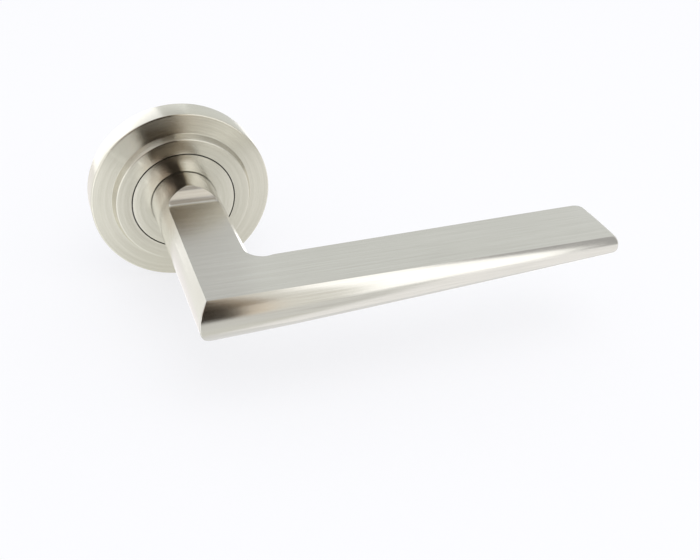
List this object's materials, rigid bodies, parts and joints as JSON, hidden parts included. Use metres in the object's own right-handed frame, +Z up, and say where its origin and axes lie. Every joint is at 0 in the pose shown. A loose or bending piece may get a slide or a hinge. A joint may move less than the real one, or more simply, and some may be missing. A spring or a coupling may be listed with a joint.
{
  "type": "door lever handle",
  "caption": "Satin nickel door lever handle: flat-topped mitred lever on a stepped round rose, with sprung return, square spindle and bolt sleeves.",
  "frame": {"origin": "where the spindle axis meets the face of the door, which is the back plane of the rose", "axes": "+X along the lever towards its tip, +Y along the spindle into the door, +Z up"},
  "size_m": [0.1326, 0.1148, 0.052],
  "materials": {
    "satin_nickel": "brushed satin nickel plating under clear lacquer",
    "cast_zinc": "bare die-cast zinc alloy",
    "zinc_plate": "bright zinc-plated steel",
    "spring_steel": "oiled dark spring steel",
    "nylon": "moulded natural nylon"
  },
  "bodies": {
    "rose": {"rose_cover": "satin_nickel", "mounting_plate": "cast_zinc", "bearing_bush": "nylon", "cover_snap_ring": "spring_steel", "bolt_sleeve_left": "zinc_plate", "bolt_sleeve_right": "zinc_plate", "wood_screw_1": "zinc_plate", "wood_screw_2": "zinc_plate", "wood_screw_3": "zinc_plate", "wood_screw_4": "zinc_plate", "rest_stop_pin": "spring_steel", "travel_stop_pin": "spring_steel", "spring_post": "spring_steel", "return_spring": "spring_steel"},
    "lever": {"lever": "satin_nickel", "neck_collar": "satin_nickel", "grub_screw": "spring_steel", "spindle": "zinc_plate", "drive_cam": "cast_zinc", "thrust_washer": "zinc_plate", "retaining_circlip": "spring_steel"}
  },
  "joints": [
    {"name": "lever_turn", "type": "hinge", "parent": "rose", "child": "lever", "pos_m": [0, 0, 0], "axis": [0, 1, 0], "range_deg": [0, 45], "stiffness_Nm_per_rad": 0.6, "springref_deg": -45.84, "deforming": ["return_spring"]}
  ]
}
